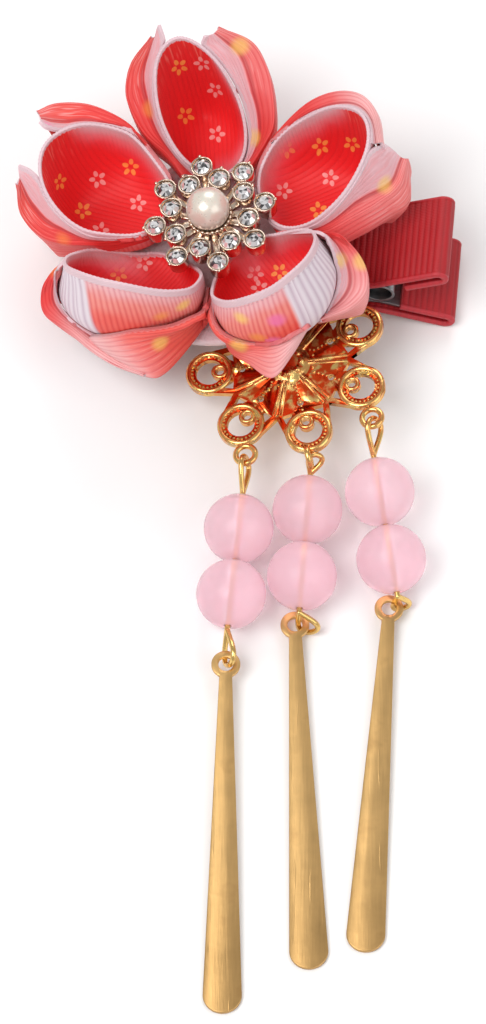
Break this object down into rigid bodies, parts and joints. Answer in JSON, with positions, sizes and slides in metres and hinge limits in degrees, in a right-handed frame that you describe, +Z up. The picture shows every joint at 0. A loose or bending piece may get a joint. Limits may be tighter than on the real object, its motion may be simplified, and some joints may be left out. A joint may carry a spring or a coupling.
{
  "type": "kanzashi barrette",
  "caption": "Folded ribbon flower with a pearl and rhinestone brooch on a ribbon-covered alligator clip, with a pierced gold ornament and bead strands with flat drops.",
  "frame": {"origin": "middle of the part's plan box, on the table that it lies on", "axes": "+Z up from the table; the strands run towards -Y and the clip runs along X with its levers at +X"},
  "size_m": [0.0516, 0.118, 0.0243],
  "materials": {
    "printed_ribbon": "ribbed satin ribbon with a blossom print and pale edges",
    "red_ribbon": "ribbed red ribbon",
    "felt": "pale felt",
    "rose_gold": "polished champagne gold plate",
    "gold": "polished gold plate",
    "brushed_gold": "satin brushed gold plate",
    "steel": "plain grey steel",
    "cut_stone": "faceted clear glass with a silvered back",
    "pearl": "cream imitation pearl",
    "bead": "translucent pink"
  },
  "bodies": {
    "flower_and_upper_jaw": {"petal_1": "printed_ribbon", "petal_2": "printed_ribbon", "petal_3": "printed_ribbon", "petal_4": "printed_ribbon", "petal_5": "printed_ribbon", "felt_pad": "felt", "brooch_setting": "rose_gold", "pearl": "pearl", "stone_01": "cut_stone", "stone_02": "cut_stone", "stone_03": "cut_stone", "stone_04": "cut_stone", "stone_05": "cut_stone", "stone_06": "cut_stone", "stone_07": "cut_stone", "stone_08": "cut_stone", "stone_09": "cut_stone", "stone_10": "cut_stone", "stone_11": "cut_stone", "stone_12": "cut_stone", "stone_13": "cut_stone", "stone_14": "cut_stone", "stone_15": "cut_stone", "stone_16": "cut_stone", "clip_upper": "steel", "hinge_pin": "steel", "ribbon_upper": "red_ribbon", "filigree": "gold", "eyepin_left": "gold", "eyepin_middle": "gold", "eyepin_right": "gold", "bead_left_1": "bead", "bead_left_2": "bead", "bead_middle_1": "bead", "bead_middle_2": "bead", "bead_right_1": "bead", "bead_right_2": "bead", "drop_left": "brushed_gold", "drop_middle": "brushed_gold", "drop_right": "brushed_gold"},
    "lower_jaw": {"clip_lower": "steel", "ribbon_lower": "red_ribbon"}
  },
  "joints": [
    {"name": "jaw_hinge", "type": "hinge", "parent": "flower_and_upper_jaw", "child": "lower_jaw", "pos_m": [0.01648, 0.03452, 0.00556], "axis": [-0.0837, -0.9965, 0], "range_deg": [0, 30], "stiffness_Nm_per_rad": 0.02, "springref_deg": -60.16}
  ]
}
